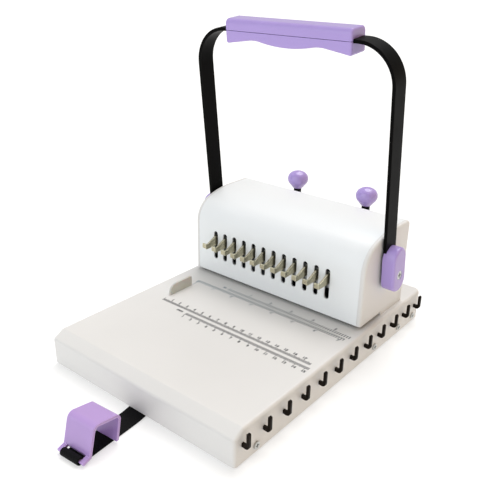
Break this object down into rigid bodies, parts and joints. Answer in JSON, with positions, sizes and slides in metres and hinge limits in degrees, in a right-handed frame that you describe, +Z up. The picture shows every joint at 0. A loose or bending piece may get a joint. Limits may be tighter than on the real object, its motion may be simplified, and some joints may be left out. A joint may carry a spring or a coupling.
{
  "type": "wire binding machine",
  "caption": "Desk machine that punches a row of square holes with a U shaped handle, holds wire combs on fingers and closes them with a bar at the back.",
  "frame": {"origin": "on the table, in the middle of everything the machine covers, strap laid out in front", "axes": "+Z up, +Y towards the back of the machine, +X to the right as seen from the front"},
  "size_m": [0.2362, 0.3772, 0.2988],
  "materials": {
    "white_case": "smooth moulded",
    "white_hood": "powder coated",
    "lilac_plastic": "smooth moulded",
    "handle_enamel": "satin",
    "finger_nickel": "nickel plated",
    "hook_finish": "dark oxide",
    "lever_finish": "satin",
    "mild_steel": "zinc plated",
    "tool_steel": "ground",
    "screw_steel": "zinc plated",
    "bush_bronze": "turned",
    "foot_rubber": "matt",
    "stop_plastic": "smooth moulded",
    "tray_plastic": "moulded",
    "strap_webbing": "woven"
  },
  "bodies": {
    "machine": {"base_cover": "white_case", "rear_housing": "white_case", "hood": "white_hood", "bottom_pan": "mild_steel", "rubber_feet": "foot_rubber", "side_screws": "screw_steel", "hood_screws": "screw_steel", "side_frame_left": "mild_steel", "side_frame_right": "mild_steel", "die_plate": "tool_steel", "pin_guide": "tool_steel", "paper_depth_stop": "tool_steel", "die_screws": "screw_steel", "frame_screws": "screw_steel", "spring_hanger_rod": "mild_steel", "shaft_bushes": "bush_bronze", "return_springs": "tool_steel", "closer_anvil": "mild_steel", "closer_brackets": "mild_steel", "closer_screws": "screw_steel", "paper_stop": "stop_plastic", "hold_down_strap": "strap_webbing", "strap_anchor": "mild_steel", "wire_hook_01": "hook_finish", "wire_hook_02": "hook_finish", "wire_hook_03": "hook_finish", "wire_hook_04": "hook_finish", "wire_hook_05": "hook_finish", "wire_hook_06": "hook_finish", "wire_hook_07": "hook_finish", "wire_hook_08": "hook_finish", "wire_hook_09": "hook_finish", "wire_hook_10": "hook_finish", "wire_hook_11": "hook_finish", "wire_hook_12": "hook_finish"},
    "handle": {"handle_frame": "handle_enamel", "grip_upper_shell": "lilac_plastic", "grip_lower_shell": "lilac_plastic", "grip_screws": "screw_steel", "pivot_shaft": "tool_steel", "shaft_rings": "tool_steel", "punch_cam_left": "tool_steel", "punch_cam_right": "tool_steel", "hub_cap_left": "lilac_plastic", "hub_cap_right": "lilac_plastic", "hub_screws": "screw_steel"},
    "punch_carriage": {"punch_bar": "tool_steel", "punch_pins": "tool_steel", "cam_pads": "tool_steel", "finger_carrier": "mild_steel", "wire_fingers": "finger_nickel", "closer_jaw": "tool_steel"},
    "closer_rocker": {"lever_shaft": "tool_steel", "closer_lever_left": "lever_finish", "closer_lever_right": "lever_finish", "lever_knob_left": "lilac_plastic", "lever_knob_right": "lilac_plastic", "wire_stop_plate": "lever_finish"},
    "chip_drawer": {"chip_tray": "tray_plastic"},
    "strap_clip": {"grip_clip": "lilac_plastic"}
  },
  "joints": [
    {"name": "handle_hinge", "type": "hinge", "parent": "machine", "child": "handle", "pos_m": [0, 0.10956, 0.0813], "axis": [1, 0, 0], "range_deg": [-25, 84]},
    {"name": "punch_slide", "type": "slide", "parent": "machine", "child": "punch_carriage", "axis": [0, 0, 1], "range_m": [-0.01201, 0.00358], "deforming": ["return_springs"]},
    {"name": "closer_hinge", "type": "hinge", "parent": "machine", "child": "closer_rocker", "pos_m": [0, 0.17156, 0.045], "axis": [1, 0, 0], "range_deg": [-45, 0]},
    {"name": "tray_slide", "type": "slide", "parent": "machine", "child": "chip_drawer", "axis": [-1, 0, 0], "range_m": [0, 0.15]},
    {"name": "clip_hinge", "type": "hinge", "parent": "machine", "child": "strap_clip", "pos_m": [0.00781, -0.18427, 0.0036], "axis": [0.9976, 0.0698, 0], "range_deg": [0, 100]}
  ],
  "couplings": [
    {"joint": "punch_slide", "follows": "handle_hinge", "m_per_rad": -0.0081851}
  ]
}
